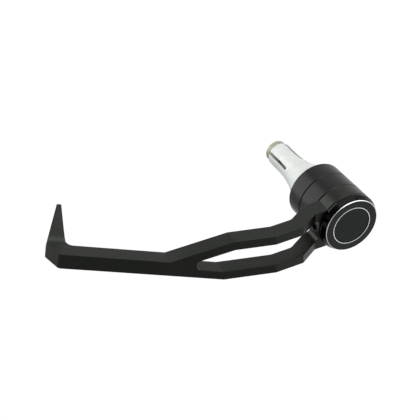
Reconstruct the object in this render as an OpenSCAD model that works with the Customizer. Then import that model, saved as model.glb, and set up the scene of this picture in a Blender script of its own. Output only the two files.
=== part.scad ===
// Brake lever guard: a forked guard arm carried on a bar end.
// Millimetres. The origin is on the bar axis, in the middle of the sleeve's straight part.
// +Y runs along the bar axis to the sleeve's tip, the arm reaches to -X and +Z is up.

/* [Barrel] */
// Diameter of the end cap, hub and spacer rings
barrel_d = 32; // [28:0.5:40]
// Width of the spacer ring beside the handlebar
rear_ring_w = 10.8; // [8:0.1:16]
// Width of the spacer ring beside the hub
front_ring_w = 11.6; // [8:0.1:16]
// Width of the arm's hub along the bar axis
hub_w = 8.9; // [8:0.1:12]
// Chamfer on the edges of the hub and the rings
ring_chamfer = 0.45; // [0.2:0.05:0.8]

/* [End cap] */
// Thickness of the cap's head in front of the hub
cap_t = 4.3; // [4:0.1:6]
// Length of the cap's plain rim before its tapered side
cap_rim = 1.3; // [0.8:0.1:2]
// Diameter of the cap's flat front face, inside its bright chamfer
cap_face_d = 28.8; // [26:0.1:29]
// Width of the bright chamfer round the front
bright_chamfer = 0.4; // [0.3:0.05:0.8]
// Diameter of the cover disc
cover_d = 20.4; // [18:0.1:22]
// Thickness of the cover disc
cover_t = 1.8; // [1.4:0.1:2.2]
// Depth of the cover disc below the cap's face
cover_sink = 0.25; // [0.1:0.05:0.5]
// Diameter of the stem that carries the hub and the rings
stem_d = 18; // [17:0.1:20]

/* [Guard arm] */
// Overall height of the fork
fork_h = 22.4; // [20:0.1:24]
// Height of each fork branch
branch_h = 4.9; // [4:0.1:5.5]
// Distance from the bar axis to where the fork steps forward
step_x = 18.5; // [17.5:0.1:20]
// How far the front face steps forward of the hub
step_out = 6.2; // [4:0.1:8]
// Angle of the step
step_angle = 31.5; // [25:0.5:40]
// Distance from the bar axis to where the arm sweeps back
sweep_x = 43.6; // [42:0.1:50]
// Angle of the sweep
sweep_angle = 16.6; // [10:0.1:22]
// Thickness of the arm, square to its front face
arm_t = 8.2; // [7.5:0.1:9]
// Length of the sweep that stays level, on top of the fork
level_top_l = 19.6; // [16:0.1:24]
// Length of the sweep that stays level, under the fork
level_bottom_l = 26; // [24:0.1:30]
// Slope of the upper branch down to the blade
branch_fall = 0.231; // [0.2:0.001:0.26]
// Slope of the rising blade
blade_rise = 0.272; // [0.24:0.001:0.3]
// Height of the blade's front face, square to its length
blade_h = 8.3; // [7.5:0.1:9]
// Length of the blade's underside, from the fork to the nose
blade_l = 79.6; // [70:0.1:90]
// Distance from the bar axis to the slot's end at the hub
slot_x = 16.3; // [16.3:0.1:17]
// Length of the sweep that the slot reaches
slot_l = 38.4; // [34:0.1:40]
// Radius of the slot's corners
slot_r = 2.2; // [0.8:0.1:2.4]

/* [Hook] */
// How far the slanted nose runs out over the blade's thickness
nose_run = 6.1; // [4:0.1:8]
// Radius of the upright edge between the blade and the nose
nose_r = 2.5; // [1:0.1:4]
// Distance of the hook's middle from the nose's tip, along the blade
hook_in = 4.3; // [4:0.1:6]
// Width of the hook's foot, which narrows from the blade's top edge on
hook_root_w = 9.1; // [8:0.1:11]
// Width of the hook's tip
hook_tip_w = 2.1; // [1.5:0.1:4]
// Thickness of the hook's tip
hook_tip_t = 2.8; // [2:0.1:4]
// Radius of the curl on its inner side, which begins at the blade's back
curl_r = 12; // [10:0.5:20]
// Angle that the hook curls up
curl_angle = 45; // [30:1:60]
// Length of the hook's straight end
hook_l = 10.6; // [5:0.1:16]
// Radius of the corner between the blade's back and the hook
cove_r = 4.2; // [2:0.1:5]

/* [Expander] */
// Diameter of the sleeve, for the bore of the handlebar
sleeve_d = 14.2; // [13:0.1:15]
// Length of the sleeve from the barrel's rear face
sleeve_l = 40; // [37:0.5:46]
// Length of the sleeve's straight part at its tip
straight_l = 10.5; // [8:0.5:13]
// Diameter of the flange against the barrel
flange_d = 27; // [22:0.5:29]
// Thickness of the flange's rim
flange_t = 2.4; // [1.6:0.1:3]
// Angle of the sleeve's first slot, from +X toward +Z
sleeve_slot_turn = 62; // [0:1:89]
// Width of the sleeve's four slots
sleeve_slot_w = 1.8; // [1:0.1:2]
// Length of the slots from the tip
sleeve_slot_l = 20; // [14:0.5:21]
// Largest diameter of the cone nut
nut_d = 12.8; // [12:0.1:13.4]
// How far the cone nut stands out of the sleeve
nut_out = 4.6; // [3.5:0.1:6]
// Length of the cone nut
nut_l = 12.5; // [10:0.5:14]
// Length of the cone nut's plain end
nut_plain_l = 3; // [2:0.1:3.5]
// Half angle of the cone
cone_angle = 8; // [6:0.5:10]

/* [Fasteners] */
// Thread diameter of the clamp bolt
bolt_d = 6; // [5:0.5:6]
// Head diameter of the clamp bolt
bolt_head_d = 10; // [9:0.1:10]
// Head height of the clamp bolt
bolt_head_h = 6; // [5:0.1:6]
// Socket size of the clamp bolt, across its flats
bolt_key = 5; // [4:0.5:5]
// Diameter of the washer under the head
washer_d = 11.6; // [11:0.1:12]
// Thickness of the washer
washer_t = 1.4; // [1:0.1:1.8]
// Thread diameter of the grub screw
grub_d = 5; // [4:0.5:5]
// Length of the grub screw
grub_l = 6; // [4:0.5:6]
// Socket size of the grub screw, across its flats
grub_key = 2.5; // [2:0.5:2.5]

/* [Fits] */
// Radial gap of the hub and rings on the stem
stem_fit = 0.1; // [0.05:0.05:0.2]
// Gap of the threads, the cone and the cover disc
seat_gap = 0.05; // [0.03:0.01:0.1]
// Radial gap round the bolt's shank, head and washer
bolt_clear = 0.3; // [0.2:0.05:0.5]

/* [Hidden] */
$fn = 96;
// How far a cutting or joining shape runs past the surface that it meets
past = 1;
// Small chamfer on the edges of turned pieces
edge_break = 0.3;

// Stations along the bar axis
rear_y = straight_l / 2 - sleeve_l;
ring_split_y = rear_y - rear_ring_w;
hub_rear_y = ring_split_y - front_ring_w;
hub_front_y = hub_rear_y - hub_w;
hub_mid_y = (hub_front_y + hub_rear_y) / 2;
cap_front_y = hub_front_y - cap_t;
cover_front_y = cap_front_y + cover_sink;
cover_rear_y = cover_front_y + cover_t;
head_front_y = cover_rear_y + bolt_clear;
head_rear_y = head_front_y + bolt_head_h;
bolt_seat_y = head_rear_y + washer_t;
stem_end_y = rear_y - edge_break;
tip_y = rear_y + sleeve_l;
straight_y = tip_y - straight_l;
nut_end_y = tip_y + nut_out;
nut_start_y = nut_end_y - nut_l;
nut_plain_y = nut_end_y - nut_plain_l;

// Radii about the bar axis
barrel_r = barrel_d / 2;
stem_r = stem_d / 2;
ring_bore_r = stem_r + stem_fit;
face_r = cap_face_d / 2;
cover_r = cover_d / 2;
pocket_r = cover_r + seat_gap;
bolt_bore_r = bolt_d / 2 + bolt_clear;
head_bore_r = washer_d / 2 + bolt_clear;
sleeve_r = sleeve_d / 2;
flange_r = flange_d / 2;
nut_r = nut_d / 2;
function cone_r(y) = nut_r - (nut_plain_y - y) * tan(cone_angle);

// Plan of the arm. A heading of 0 points to -X and one of 90 points to +Y.
function heading(a) = [-cos(a), sin(a)];
function side(a) = [sin(a), cos(a)];
function cross2(u, v) = u[0] * v[1] - u[1] * v[0];
step_end = [-step_x - step_out / tan(step_angle), hub_front_y - step_out];
sweep_at = [-sweep_x, step_end[1]];
back_sweep = sweep_at + arm_t / cos(sweep_angle / 2) * side(sweep_angle / 2);
back_step = step_end + arm_t / cos(step_angle / 2) * side(-step_angle / 2);
back_hub = [back_step[0] + (hub_rear_y - back_step[1]) / tan(step_angle), hub_rear_y];
// The plan starts inside the hub, clear of its bore
hub_inside_x = -stem_r - past;

// Elevation of the arm, seen along the bar: length of the sweep's front edge, and height
fork_top = fork_h / 2;
slot_top = fork_top - branch_h;
blade_tilt = atan(blade_rise);
blade_upright = blade_h / cos(blade_tilt);
blade_start = (fork_h + branch_fall * level_top_l + blade_rise * level_bottom_l - blade_upright)
    / (branch_fall + blade_rise);
function branch_top(s) = fork_top - branch_fall * max(0, s - level_top_l);
function blade_bottom(s) = -fork_top + blade_rise * max(0, s - level_bottom_l);
// The hook is drawn along the blade: X runs out to the nose, Y out of the front face, Z up
nose_x = blade_l + nose_run;
hook_x = nose_x - hook_in;
stub_x = hook_x - hook_root_w / 2 - 2 * cove_r;
// How far the blade runs into the hook's foot, which stands proud of it by the lap
stub_l = 3;
lap = 0.01;
blade_end = level_bottom_l + (stub_x + stub_l) * cos(blade_tilt);
hub_l = -sweep_x - barrel_r;
past_end = blade_end + past;
elevation_points = [
    [hub_l, fork_top], [level_top_l, fork_top], [blade_start, branch_top(blade_start)],
    [past_end, blade_bottom(past_end) + blade_upright], [past_end, blade_bottom(past_end)],
    [level_bottom_l, -fork_top], [hub_l, -fork_top]];
plan_end = sweep_at + blade_end * heading(sweep_angle);
plan_points = [
    [hub_inside_x, hub_front_y], [-step_x, hub_front_y], step_end, sweep_at,
    plan_end, plan_end + arm_t * side(sweep_angle), back_sweep, back_step, back_hub,
    [hub_inside_x, hub_rear_y]];
plan_radii = [0, 0, 0, 0, 0, 0, 6, 4, 8, 0];

// Side profile of the hook, at distances along its inner side
// The blade's top runs down towards its back, because its slope is cut along the bar
lean = atan(sin(blade_tilt) * tan(sweep_angle));
curl_l = curl_r * (curl_angle + lean) * PI / 180;
hook_steps = 16;
hook_way = [-cos(curl_angle), sin(curl_angle)];
function curl_at(a) = min(a, curl_l) / curl_l * (curl_angle + lean) - lean;
function square_to(t) = [sin(t), cos(t)];
foot_back = [-arm_t, blade_h + lap - arm_t * tan(lean)];
function hook_at(a) = foot_back + curl_r * (square_to(-lean) - square_to(curl_at(a)))
    + max(0, a - curl_l) * hook_way;
foot_h = (blade_h + 2 * lap) * cos(lean);
function hook_t(a) = foot_h + (hook_tip_t - foot_h) * a / (curl_l + hook_l);
function hook_under(a) = hook_at(a) - hook_t(a) * square_to(curl_at(a));
hook_stations = concat([for (i = [0:hook_steps]) curl_l * i / hook_steps], [curl_l + hook_l]);
hook_profile = concat([[lap, -lap], [lap, blade_h + lap]],
    [for (a = hook_stations) hook_at(a)],
    [for (i = [len(hook_stations) - 1:-1:0]) hook_under(hook_stations[i])]);

// Half the hook's width at a distance from the tip
curl_end = hook_at(curl_l);
taper_l = hook_l + (curl_end - foot_back) * hook_way;
function half_w(d) = (hook_tip_w + (hook_root_w - hook_tip_w) * min(d / taper_l, 1)) / 2;
cove_x = hook_x - hook_root_w / 2;
hook_reach = curl_r + hook_l + blade_h;

// The slot leaves each branch its height, and narrows along the sweep with them
slot_hub_l = (slot_x - sweep_x) / cos(sweep_angle);
slot_end_top = branch_top(slot_l) - branch_h;
slot_end_bottom = blade_bottom(slot_l) + branch_h;
slot_points = [
    [slot_hub_l, slot_top], [level_top_l, slot_top], [slot_l, slot_end_top],
    [slot_l, slot_end_bottom], [level_bottom_l, -slot_top], [slot_hub_l, -slot_top]];
slot_end_r = min(slot_r, (slot_end_top - slot_end_bottom) / 2.2);
slot_radii = [slot_r, 0, slot_end_r, slot_end_r, 0, slot_r];

// Arc that rounds the corner at b, between a and c
function unit(v) = v / norm(v);
function corner(a, b, c, r, steps = 6) =
    r == 0 ? [b] :
    let (u = unit(a - b), v = unit(c - b), half = acos(u * v) / 2,
        centre = b + unit(u + v) * r / sin(half),
        from = b + u * r / tan(half) - centre, to = b + v * r / tan(half) - centre,
        turn = atan2(cross2(from, to), from * to))
    [for (i = [0:steps]) let (t = turn * i / steps)
        centre + [from[0] * cos(t) - from[1] * sin(t), from[0] * sin(t) + from[1] * cos(t)]];
function rounded(points, radii) = let (n = len(points))
    [for (i = [0:n - 1]) each corner(points[(i + n - 1) % n], points[i], points[(i + 1) % n], radii[i])];

// A piece turned about the bar axis, from points of radius and station
module turned(points) {
    rotate([-90, 0, 0]) rotate_extrude() polygon(points);
}

module bore(y0, y1, r) {
    translate([0, y0, 0]) rotate([-90, 0, 0]) cylinder(h = y1 - y0, r = r);
}

// A ring of the barrel with both outer edges chamfered
module barrel_ring(y0, y1) {
    turned([
        [ring_bore_r, y0], [barrel_r - ring_chamfer, y0], [barrel_r, y0 + ring_chamfer],
        [barrel_r, y1 - ring_chamfer], [barrel_r - ring_chamfer, y1], [ring_bore_r, y1]]);
}

// An outline of sweep length and height, run through the arm along the bar
module along_bar(points) {
    translate([0, barrel_d, 0]) rotate([90, 0, 0]) linear_extrude(barrel_d * 4)
        polygon([for (p = points) [sweep_at[0] - p[0] * cos(sweep_angle), p[1]]]);
}

module fork_and_blade() {
    intersection() {
        translate([0, 0, -barrel_d]) linear_extrude(barrel_d * 2) polygon(rounded(plan_points, plan_radii));
        along_bar(elevation_points);
    }
}

module along_blade() {
    foot = sweep_at + level_bottom_l * heading(sweep_angle);
    translate([foot[0], foot[1], -fork_top]) rotate([0, 0, 180 - sweep_angle])
        rotate([0, -blade_tilt, 0]) children();
}

// A piece of the given outline, seen square to the blade's top
module from_above(points) {
    translate([0, 0, -past]) linear_extrude(hook_reach) polygon(points);
}

// The room between the hook's sides, seen square to its straight end
module between_sides(extra) {
    ends = [-past, taper_l, hook_l + hook_reach];
    translate([hook_x, curl_end[0], curl_end[1]]) rotate([-curl_angle, 0, 0])
        translate([0, 0, -hook_reach]) linear_extrude(hook_reach * 2) polygon(concat(
            [for (d = ends) [-half_w(d) - extra, d - hook_l]],
            [for (i = [2:-1:0]) [half_w(ends[i]), ends[i] - hook_l]]));
}

// The blade's end with its slanted nose, and the hook that curls up behind it
module hook() {
    nose_out = 2 * nose_run;
    nose_back = 2 * arm_t;
    along_blade() intersection() {
        translate([stub_x, 0, 0]) rotate([90, 0, 90]) linear_extrude(nose_x - stub_x + nose_out)
            polygon(hook_profile);
        from_above(rounded([
            [stub_x, lap], [blade_l, lap], [blade_l + nose_out, -nose_back],
            [blade_l + nose_out, -hook_reach], [stub_x, -hook_reach]], [0, nose_r, 0, 0, 0]));
        between_sides(hook_reach);
        union() {
            from_above(rounded([
                [stub_x, past], [stub_x, -arm_t - lap], [cove_x, -arm_t - lap],
                [hook_x - half_w(hook_l), curl_end[0]], [hook_x, curl_end[0]],
                [hook_x, -arm_t], [nose_x + nose_out, -arm_t], [nose_x + nose_out, past]],
                [0, 0, cove_r, 0, 0, 0, 0, 0]));
            between_sides(0);
        }
    }
}

module guard_arm() {
    color("#3a3b38") difference() {
        union() {
            barrel_ring(hub_front_y, hub_rear_y);
            fork_and_blade();
            hook();
        }
        bore(hub_front_y - past, hub_rear_y + past, ring_bore_r);
        along_bar(rounded(slot_points, slot_radii));
        translate([-slot_x - past, hub_mid_y, 0]) rotate([0, 90, 0])
            cylinder(h = slot_x + past - stem_r / 2, d = grub_d + 2 * seat_gap);
    }
}

module end_cap() {
    color("#1c1d1e") turned([
        [bolt_bore_r, bolt_seat_y], [head_bore_r, bolt_seat_y], [head_bore_r, cover_rear_y],
        [pocket_r, cover_rear_y], [pocket_r, cap_front_y], [face_r, cap_front_y],
        [face_r + bright_chamfer, cap_front_y + bright_chamfer],
        [barrel_r, hub_front_y - cap_rim], [barrel_r, hub_front_y - edge_break],
        [barrel_r - edge_break, hub_front_y], [stem_r, hub_front_y],
        [stem_r, stem_end_y - edge_break], [stem_r - edge_break, stem_end_y],
        [bolt_bore_r, stem_end_y]]);
}

module cover_disc() {
    color("#2b2d2d") turned([
        [0, cover_front_y], [cover_r - edge_break, cover_front_y], [cover_r, cover_front_y + edge_break],
        [cover_r, cover_rear_y], [0, cover_rear_y]]);
}

module front_ring() {
    color("#2d2d2c") barrel_ring(hub_rear_y, ring_split_y);
}

module rear_ring() {
    color("#2d2d2c") barrel_ring(ring_split_y, rear_y);
}

// Radius of the flare, whose arc runs from the flange into the straight part
flare_rim_r = flange_r - edge_break;
flare_y = rear_y + flange_t;
flare_rise = flare_rim_r - sleeve_r;
flare_run = straight_y - flare_y;
flare_radius = (flare_rise * flare_rise + flare_run * flare_run) / (2 * flare_rise);
flare_steps = 12;
function flare_r(y) = sleeve_r + flare_radius - sqrt(pow(flare_radius, 2) - pow(straight_y - y, 2));
// The sleeve's inner cone runs past the nut's start, which leaves it room to draw in
draw_y = nut_start_y - 2 * past;

module expander_sleeve() {
    color("#d4d6d3") difference() {
        turned(concat(
            [[bolt_bore_r, rear_y], [flange_r - edge_break, rear_y], [flange_r, rear_y + edge_break],
                [flange_r, flare_y - edge_break]],
            [for (i = [0:flare_steps]) let (y = flare_y + flare_run * i / flare_steps) [flare_r(y), y]],
            [[sleeve_r, tip_y - edge_break], [sleeve_r - edge_break, tip_y],
                [cone_r(tip_y) + seat_gap, tip_y], [cone_r(draw_y) + seat_gap, draw_y],
                [bolt_bore_r, draw_y]]));
        for (turn = [sleeve_slot_turn, sleeve_slot_turn + 90])
            rotate([0, -turn, 0]) translate([-flange_r, tip_y - sleeve_slot_l, -sleeve_slot_w / 2])
                cube([flange_d, sleeve_slot_l + past, sleeve_slot_w]);
    }
}

module cone_nut() {
    nut_chamfer = 2 * edge_break;
    color("#b3a988") turned([
        [bolt_d / 2 + seat_gap, nut_start_y], [cone_r(nut_start_y), nut_start_y], [nut_r, nut_plain_y],
        [nut_r, nut_end_y - nut_chamfer], [nut_r - nut_chamfer, nut_end_y],
        [bolt_d / 2 + seat_gap, nut_end_y]]);
}

// A hexagonal socket of the given size across its flats, along +Z from the origin
module hex_socket(key, depth) {
    cylinder(h = depth, d = key / cos(30), $fn = 6);
}

module clamp_bolt() {
    head_r = bolt_head_d / 2;
    color("#8f9193") difference() {
        turned([
            [0, head_front_y], [head_r - edge_break, head_front_y], [head_r, head_front_y + edge_break],
            [head_r, head_rear_y], [bolt_d / 2, head_rear_y], [bolt_d / 2, nut_end_y - 2 * edge_break],
            [bolt_d / 2 - 2 * edge_break, nut_end_y], [0, nut_end_y]]);
        translate([0, head_front_y - past, 0]) rotate([-90, 0, 0])
            hex_socket(bolt_key, bolt_head_h / 2 + past);
    }
}

module bolt_washer() {
    color("#a9abad") turned([
        [bolt_d / 2 + seat_gap, head_rear_y], [washer_d / 2, head_rear_y],
        [washer_d / 2, bolt_seat_y], [bolt_d / 2 + seat_gap, bolt_seat_y]]);
}

module grub_screw() {
    color("#77797b") translate([-stem_r - seat_gap - grub_l, hub_mid_y, 0]) rotate([0, 90, 0])
    difference() {
        union() {
            cylinder(h = edge_break, d1 = grub_d - 2 * edge_break, d2 = grub_d);
            translate([0, 0, edge_break]) cylinder(h = grub_l - 2 * edge_break, d = grub_d);
            translate([0, 0, grub_l - edge_break])
                cylinder(h = edge_break, d1 = grub_d, d2 = grub_d - 2 * edge_break);
        }
        translate([0, 0, -past]) hex_socket(grub_key, grub_l / 2 + past);
    }
}

guard_arm();
end_cap();
cover_disc();
front_ring();
rear_ring();
expander_sleeve();
cone_nut();
clamp_bolt();
bolt_washer();
grub_screw();
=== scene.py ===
import bpy
from mathutils import Matrix, Vector


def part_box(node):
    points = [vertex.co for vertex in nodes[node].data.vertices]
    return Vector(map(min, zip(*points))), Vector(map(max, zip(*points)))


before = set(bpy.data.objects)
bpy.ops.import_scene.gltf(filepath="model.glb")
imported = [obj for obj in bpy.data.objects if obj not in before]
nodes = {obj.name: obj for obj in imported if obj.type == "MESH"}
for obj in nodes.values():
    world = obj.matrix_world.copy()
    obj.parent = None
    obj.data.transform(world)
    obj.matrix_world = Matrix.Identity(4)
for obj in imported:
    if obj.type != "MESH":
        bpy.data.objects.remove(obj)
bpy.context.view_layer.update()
MM = 0.001

# Camera, in the part's frame: where it stands, where it looks and which way is up in the picture
CAMERA_AT = Vector((-181.2, -334.2, 248.5)) * MM
CAMERA_LOOK = Vector((0.29887, 0.74494, -0.59644))
CAMERA_UP = Vector((0.29131, 0.52396, 0.80038))
SENSOR_MM = 36.0
# Focal length as a share of the picture's width
FOCAL_SHARE = 800 / 420
CLIP_NEAR = 0.01
CLIP_FAR = 50

# Floor: its depth below the rings, its side, and the white that the camera sees in place of its lit colour
FLOOR_DROP = 0.110
FLOOR_SIZE = 6.0
FLOOR_ROUGH = 0.9
FLOOR_TONE = 0.95
FLOOR_SEEN = 1.03
# Share of the floor's own glow. The rest of it takes the lamps' light and the part's shadow
GLOW_SHARE = 0.93

# Painted shade on the floor: a grey patch in front of the blade, standing in for the part's shadow there,
# which the black front faces mirror. It fades out between its radius and that radius times the fade factor
SHADE_PATCH_AT = (-0.27, -0.08, -0.126)
SHADE_PATCH_R = 0.21
SHADE_PATCH_FADE = 1.6
SHADE_PATCH_TONE = 0.52

# Surroundings: the light that they give, and how bright they look where they aren't dark
WORLD_LIGHT = 0.58
WORLD_SEEN = 1.0
# Their dark side: its direction, and the cosines of the angles from it where the dark starts and is full
DARK_SIDE = (-0.62, -0.55, 0.56)
DARK_START = 0.72
DARK_FULL = 0.9
DARK_LEVEL = 0.1

# The cap's front: the depth of the bright cut round its rim, the radius where its flat face ends,
# the radius of its recess and the width of the bright land round that
CUT_DEPTH = 0.28 * MM
FACE_R = 14.4 * MM
POCKET_R = 10.25 * MM
LAND = 0.34 * MM
THIN = 0.02 * MM
# Roughness of the cap's sides, what its face adds to that, and how far both wander
SIDE_ROUGH = 0.14
FACE_ROUGH_MORE = 0.28
ROUGH_WANDER = 0.08

# How far the roughness of bare and plated metal wanders to each side
METAL_WANDER = 0.05

# Radius that the arm's milled edges are rounded to
EDGE_R = 0.5 * MM

# Values of a noise between which a colour and a roughness change
RAMP_RANGE = (0.35, 0.65)
SPREAD_RANGE = (0.3, 0.7)


def make_camera():
    data = bpy.data.cameras.new("camera")
    data.sensor_width = SENSOR_MM
    data.lens = FOCAL_SHARE * SENSOR_MM
    data.clip_start = CLIP_NEAR
    data.clip_end = CLIP_FAR
    camera = bpy.data.objects.new("camera", data)
    bpy.context.collection.objects.link(camera)
    back = -CAMERA_LOOK.normalized()
    right = CAMERA_UP.cross(back).normalized()
    up = back.cross(right)
    turn = Matrix((right, up, back)).transposed().to_4x4()
    camera.matrix_world = Matrix.Translation(CAMERA_AT) @ turn
    bpy.context.scene.camera = camera


class Graph:
    """A material's node tree, with short calls to add and join its nodes."""

    def __init__(self, name):
        self.material = bpy.data.materials.new(name)
        self.material.use_nodes = True
        self.tree = self.material.node_tree
        self.shader = self.tree.nodes["Principled BSDF"]

    def add(self, kind, **values):
        node = self.tree.nodes.new(kind)
        for key, value in values.items():
            setattr(node, key, value)
        return node

    def join(self, source, target):
        self.tree.links.new(source, target)

    def drive(self, **sources):
        """Joins outputs to the shader's inputs of the same names."""
        for key, source in sources.items():
            self.join(source, self.shader.inputs[key.replace("_", " ")])

    def set(self, **values):
        """Sets the shader's inputs of the same names to plain values."""
        for key, value in values.items():
            self.shader.inputs[key.replace("_", " ")].default_value = value

    def math(self, operation, a, b=0.0):
        node = self.add("ShaderNodeMath", operation=operation)
        for socket, value in zip(node.inputs, (a, b)):
            if isinstance(value, (int, float)):
                socket.default_value = value
            else:
                self.join(value, socket)
        return node.outputs[0]

    def place(self):
        return self.add("ShaderNodeTexCoord").outputs["Object"]

    def noise(self, vector, scale, detail=2.0, rough=0.5):
        node = self.add("ShaderNodeTexNoise")
        node.inputs["Scale"].default_value = scale
        node.inputs["Detail"].default_value = detail
        node.inputs["Roughness"].default_value = rough
        self.join(vector, node.inputs["Vector"])
        return node.outputs["Fac"]

    def ramp(self, factor, low, high):
        """A colour between two, by a noise."""
        node = self.add("ShaderNodeValToRGB")
        for stop, at, colour in zip(node.color_ramp.elements, RAMP_RANGE, (low, high)):
            stop.position = at
            stop.color = (*colour, 1)
        self.join(factor, node.inputs["Fac"])
        return node.outputs["Color"]

    def spread(self, factor, low, high):
        """A number between two, by a noise."""
        node = self.add("ShaderNodeMapRange")
        node.inputs["From Min"].default_value = SPREAD_RANGE[0]
        node.inputs["From Max"].default_value = SPREAD_RANGE[1]
        node.inputs["To Min"].default_value = low
        node.inputs["To Max"].default_value = high
        self.join(factor, node.inputs["Value"])
        return node.outputs["Result"]

    def mix(self, factor, a, b):
        """A colour between two, each of them an output or a plain colour."""
        node = self.add("ShaderNodeMix", data_type="RGBA")
        self.join(factor, node.inputs["Factor"])
        for socket, value in ((node.inputs[6], a), (node.inputs[7], b)):
            if isinstance(value, tuple):
                socket.default_value = (*value, 1)
            else:
                self.join(value, socket)
        return node.outputs[2]

    def polar(self):
        """Distance from the bar axis and station along it."""
        split = self.add("ShaderNodeSeparateXYZ")
        self.join(self.place(), split.inputs[0])
        x, y, z = split.outputs
        square = self.math("ADD", self.math("MULTIPLY", x, x), self.math("MULTIPLY", z, z))
        return self.math("SQRT", square), y

    def turning_lines(self, scale):
        """Fine lines that a lathe leaves round the bar axis."""
        radius, station = self.polar()
        spot = self.add("ShaderNodeCombineXYZ")
        self.join(radius, spot.inputs[0])
        self.join(station, spot.inputs[1])
        return self.noise(spot.outputs[0], scale, detail=3.0, rough=0.6)

    def soft_edge(self, radius):
        """Normals that round the sharp edges, as tumbling and anodising leave them."""
        node = self.add("ShaderNodeBevel", samples=8)
        node.inputs["Radius"].default_value = radius
        return node.outputs["Normal"]

    def bump(self, height, depth, strength, below=None):
        """Turns the shader's normals by a height, on top of those below."""
        node = self.add("ShaderNodeBump")
        node.inputs["Strength"].default_value = strength
        node.inputs["Distance"].default_value = depth
        self.join(height, node.inputs["Height"])
        if below is not None:
            self.join(below, node.inputs["Normal"])
        self.drive(Normal=node.outputs["Normal"])
        return node.outputs["Normal"]


def anodised_arm():
    """Satin black anodising over a bead-blasted, milled arm."""
    g = Graph("arm_anodised")
    place = g.place()
    tone = g.noise(place, scale=45, detail=3.0)
    wear = g.noise(place, scale=260, detail=4.0)
    g.drive(Base_Color=g.ramp(tone, low=(0.0028, 0.0035, 0.0026), high=(0.0044, 0.0051, 0.004)))
    g.drive(Roughness=g.spread(wear, low=0.25, high=0.33))
    g.set(Metallic=0.0, Specular_IOR_Level=0.21, Specular_Tint=(0.93, 1.0, 0.9, 1))
    edge = g.soft_edge(EDGE_R)
    grain = g.bump(g.noise(place, scale=9000), depth=0.004 * MM, strength=0.4, below=edge)
    g.bump(g.noise(place, scale=700, detail=3.0), depth=0.012 * MM, strength=0.4, below=grain)
    return g.material


def anodised_ring():
    """Satin black anodising over fine turning lines."""
    g = Graph("ring_anodised")
    place = g.place()
    tone = g.noise(place, scale=60, detail=3.0)
    wear = g.noise(place, scale=300, detail=4.0)
    g.drive(Base_Color=g.ramp(tone, low=(0.006, 0.006, 0.0058), high=(0.0086, 0.0086, 0.0082)))
    g.drive(Roughness=g.spread(wear, low=0.25, high=0.32))
    g.set(Metallic=0.0, Specular_IOR_Level=0.15)
    lines = g.bump(g.turning_lines(scale=5200), depth=0.006 * MM, strength=0.6)
    g.bump(g.noise(place, scale=9000), depth=0.006 * MM, strength=0.4, below=lines)
    return g.material


def cap_finish():
    """Glossy black sides and a matt slate face, with a bright cut rim and a bright land round the recess."""
    g = Graph("cap_anodised")
    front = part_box("end_cap")[0][1]
    radius, station = g.polar()
    near_front = g.math("LESS_THAN", station, front + CUT_DEPTH)
    on_face = g.math("LESS_THAN", station, front + THIN)
    off_face = g.math("GREATER_THAN", radius, FACE_R)
    in_land = g.math("LESS_THAN", radius, POCKET_R + LAND)
    past_pocket = g.math("GREATER_THAN", radius, POCKET_R - THIN)
    land = g.math("MULTIPLY", g.math("MULTIPLY", in_land, past_pocket), on_face)
    rim = g.math("MULTIPLY", off_face, near_front)
    bright = g.math("MAXIMUM", rim, land)
    place = g.place()
    slate = g.ramp(g.noise(place, scale=2600, detail=3.0),
                   low=(0.0075, 0.0095, 0.01), high=(0.0155, 0.0185, 0.019))
    dark = g.mix(on_face, (0.0008, 0.0008, 0.0009), slate)
    g.drive(Base_Color=g.mix(bright, dark, (0.8, 0.8, 0.79)), Metallic=bright)
    more = g.math("MULTIPLY", g.math("MAXIMUM", on_face, bright), FACE_ROUGH_MORE)
    wander = g.math("MULTIPLY", g.math("SUBTRACT", g.noise(place, scale=300), 0.5), ROUGH_WANDER)
    g.drive(Roughness=g.math("ADD", g.math("ADD", SIDE_ROUGH, more), wander))
    g.set(Specular_IOR_Level=0.12)
    lines = g.bump(g.turning_lines(scale=5200), depth=0.003 * MM, strength=0.5)
    g.bump(g.noise(place, scale=9000), depth=0.004 * MM, strength=0.35, below=lines)
    return g.material


def disc_finish():
    """Matt slate anodising with a fine grain over turning lines."""
    g = Graph("disc_anodised")
    place = g.place()
    tone = g.noise(place, scale=2600, detail=3.0)
    g.drive(Base_Color=g.ramp(tone, low=(0.0062, 0.0086, 0.0086), high=(0.0136, 0.0165, 0.0165)))
    g.drive(Roughness=g.spread(g.noise(place, scale=300), low=0.38, high=0.48))
    g.set(Metallic=0.0, Specular_IOR_Level=0.1)
    lines = g.bump(g.turning_lines(scale=1800), depth=0.02 * MM, strength=0.6)
    g.bump(g.noise(place, scale=7000), depth=0.006 * MM, strength=0.4, below=lines)
    return g.material


def turned_metal(name, low, high, rough):
    """Bare or plated metal with fine turning lines."""
    g = Graph(name)
    place = g.place()
    tone = g.noise(place, scale=90, detail=3.0)
    wear = g.noise(place, scale=400, detail=3.0)
    g.drive(Base_Color=g.ramp(tone, low, high))
    g.drive(Roughness=g.spread(wear, low=rough - METAL_WANDER, high=rough + METAL_WANDER))
    g.set(Metallic=1.0)
    lines = g.bump(g.turning_lines(scale=4200), depth=0.008 * MM, strength=0.6)
    g.bump(g.noise(place, scale=8000), depth=0.004 * MM, strength=0.4, below=lines)
    return g.material


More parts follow.
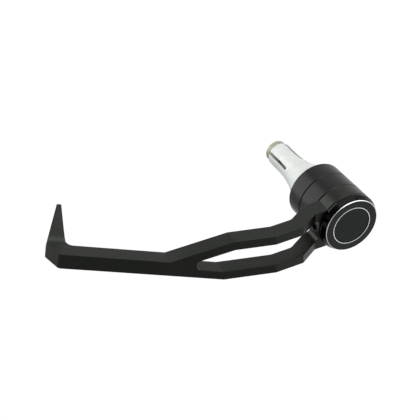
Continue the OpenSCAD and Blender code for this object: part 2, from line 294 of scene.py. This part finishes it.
def dress():
    """Gives every node of the frame its finish."""
    steel = turned_metal("plated_steel", low=(0.46, 0.47, 0.48), high=(0.56, 0.57, 0.58), rough=0.3)
    ring = anodised_ring()
    finishes = {
        "guard_arm": anodised_arm(),
        "end_cap": cap_finish(),
        "cover_disc": disc_finish(),
        "front_ring": ring,
        "rear_ring": ring,
        "expander_sleeve": turned_metal(
            "plain_aluminium", low=(0.57, 0.59, 0.575), high=(0.635, 0.65, 0.635), rough=0.68),
        "cone_nut": turned_metal(
            "plated_nut", low=(0.265, 0.255, 0.21), high=(0.35, 0.34, 0.278), rough=0.62),
        "clamp_bolt": steel,
        "bolt_washer": steel,
        "grub_screw": turned_metal(
            "black_steel", low=(0.1, 0.1, 0.105), high=(0.16, 0.16, 0.165), rough=0.35),
    }
    for name, finish in finishes.items():
        for slot in nodes[name].material_slots:
            slot.material = finish


def faded(tree, vector, operation, point, near, far, near_value, far_value):
    """A smooth change between two values, by a vector's distance from a point or its share along it."""
    measure = tree.nodes.new("ShaderNodeVectorMath")
    measure.operation = operation
    measure.inputs[1].default_value = point
    tree.links.new(vector, measure.inputs[0])
    fade = tree.nodes.new("ShaderNodeMapRange")
    fade.interpolation_type = "SMOOTHSTEP"
    fade.inputs["From Min"].default_value = near
    fade.inputs["From Max"].default_value = far
    fade.inputs["To Min"].default_value = near_value
    fade.inputs["To Max"].default_value = far_value
    tree.links.new(measure.outputs["Value"], fade.inputs["Value"])
    return fade.outputs["Result"]


def background_rays(tree):
    """1 for the camera's rays, and 1 for all rays that show the background: seen, mirrored, through glass."""
    path = tree.nodes.new("ShaderNodeLightPath")
    shown = path.outputs["Is Camera Ray"]
    for kind in ("Is Glossy Ray", "Is Transmission Ray"):
        either = tree.nodes.new("ShaderNodeMath")
        either.operation = "MAXIMUM"
        tree.links.new(shown, either.inputs[0])
        tree.links.new(path.outputs[kind], either.inputs[1])
        shown = either.outputs[0]
    return path.outputs["Is Camera Ray"], shown


def by_camera(tree, camera, mirrored, seen):
    """The mirrored value, but a plain one where the camera sees the background itself."""
    choice = tree.nodes.new("ShaderNodeMix")
    tree.links.new(camera, choice.inputs["Factor"])
    tree.links.new(mirrored, choice.inputs[2])
    choice.inputs[3].default_value = seen
    return choice.outputs[0]


def mix_shaders(tree, factor, lit, shown, output):
    """The lit shader and the shown one, mixed into the tree's output node."""
    mix = tree.nodes.new("ShaderNodeMixShader")
    for source, socket in zip((factor, lit.outputs[0], shown.outputs[0]), mix.inputs):
        tree.links.new(source, socket)
    tree.links.new(mix.outputs[0], tree.nodes[output].inputs["Surface"])


def floor_tone_with_painted_shade(tree):
    """White paper with a painted shadow in front of the blade: a grey patch which the black front faces
    mirror, and which keeps them dark.
    """
    place = tree.nodes.new("ShaderNodeTexCoord").outputs["Object"]
    return faded(tree, place, "DISTANCE", SHADE_PATCH_AT, SHADE_PATCH_R, SHADE_PATCH_FADE * SHADE_PATCH_R, SHADE_PATCH_TONE, FLOOR_TONE)


def world_level(tree):
    """Even surroundings with one dark side, left of the camera, which the cap's edge mirrors."""
    way = tree.nodes.new("ShaderNodeTexCoord").outputs["Generated"]
    return faded(tree, way, "DOT_PRODUCT", DARK_SIDE, DARK_START, DARK_FULL, WORLD_SEEN, DARK_LEVEL)


def floor_finish():
    """White that glows where it is seen or mirrored, with a painted shade patch in front of the blade, and
    takes a part of the light and the shadow.
    """
    material = bpy.data.materials.new("floor_white_with_painted_shade")
    material.use_nodes = True
    tree = material.node_tree
    shader = tree.nodes["Principled BSDF"]
    shader.inputs["Roughness"].default_value = FLOOR_ROUGH
    # The tone holds the painted shade patch: both the floor's lit colour and its mirrored glow take it
    tone = floor_tone_with_painted_shade(tree)
    camera, shown = background_rays(tree)
    tree.links.new(tone, shader.inputs["Base Color"])
    glow = tree.nodes.new("ShaderNodeEmission")
    tree.links.new(by_camera(tree, camera, tone, FLOOR_SEEN), glow.inputs["Strength"])
    share = tree.nodes.new("ShaderNodeMath")
    share.operation = "MULTIPLY"
    share.inputs[1].default_value = GLOW_SHARE
    tree.links.new(shown, share.inputs[0])
    mix_shaders(tree, share.outputs[0], shader, glow, "Material Output")
    return material


def make_floor():
    """A plain floor below the part."""
    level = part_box("rear_ring")[0][2] - FLOOR_DROP
    half = FLOOR_SIZE / 2
    corners = [(-half, -half, level), (half, -half, level), (half, half, level), (-half, half, level)]
    mesh = bpy.data.meshes.new("floor")
    mesh.from_pydata(corners, [], [(0, 1, 2, 3)])
    floor = bpy.data.objects.new("floor", mesh)
    bpy.context.collection.objects.link(floor)
    mesh.materials.append(floor_finish())


def make_world():
    """Surroundings that light the part evenly, and look white except on their dark side."""
    world = bpy.data.worlds.new("surroundings")
    bpy.context.scene.world = world
    world.use_nodes = True
    tree = world.node_tree
    lit = tree.nodes["Background"]
    shown = tree.nodes.new("ShaderNodeBackground")
    for background in (lit, shown):
        background.inputs["Color"].default_value = (1, 1, 1, 1)
    lit.inputs["Strength"].default_value = WORLD_LIGHT
    camera, rays = background_rays(tree)
    tree.links.new(by_camera(tree, camera, world_level(tree), WORLD_SEEN), shown.inputs["Strength"])
    mix_shaders(tree, rays, lit, shown, "World Output")


def area_light(name, at, size, energy):
    """A soft lamp that faces the part and isn't seen itself."""
    data = bpy.data.lights.new(name, "AREA")
    data.shape = "RECTANGLE"
    data.size, data.size_y = size
    data.energy = energy
    light = bpy.data.objects.new(name, data)
    bpy.context.collection.objects.link(light)
    light.location = at
    light.rotation_euler = (-Vector(at)).to_track_quat("-Z", "Y").to_euler()
    light.visible_camera = False


def make_lamps():
    area_light("top_box", at=(0.2, -0.25, 0.8), size=(0.9, 1.0), energy=3.3)
    area_light("left_back_box", at=(-0.47, 0.56, 0.28), size=(0.44, 0.9), energy=3.3)
    area_light("front_box", at=(0.2, -0.85, 0.75), size=(0.7, 0.5), energy=2.5)
    area_light("right_box", at=(0.9, -0.5, 0.45), size=(0.5, 0.5), energy=1.3)
    area_light("small_top_box", at=(0.24, 0.3, 0.8), size=(0.3, 0.3), energy=0.9)


make_camera()
dress()
make_floor()
make_world()
make_lamps()
bpy.context.scene.view_settings.view_transform = "Standard"
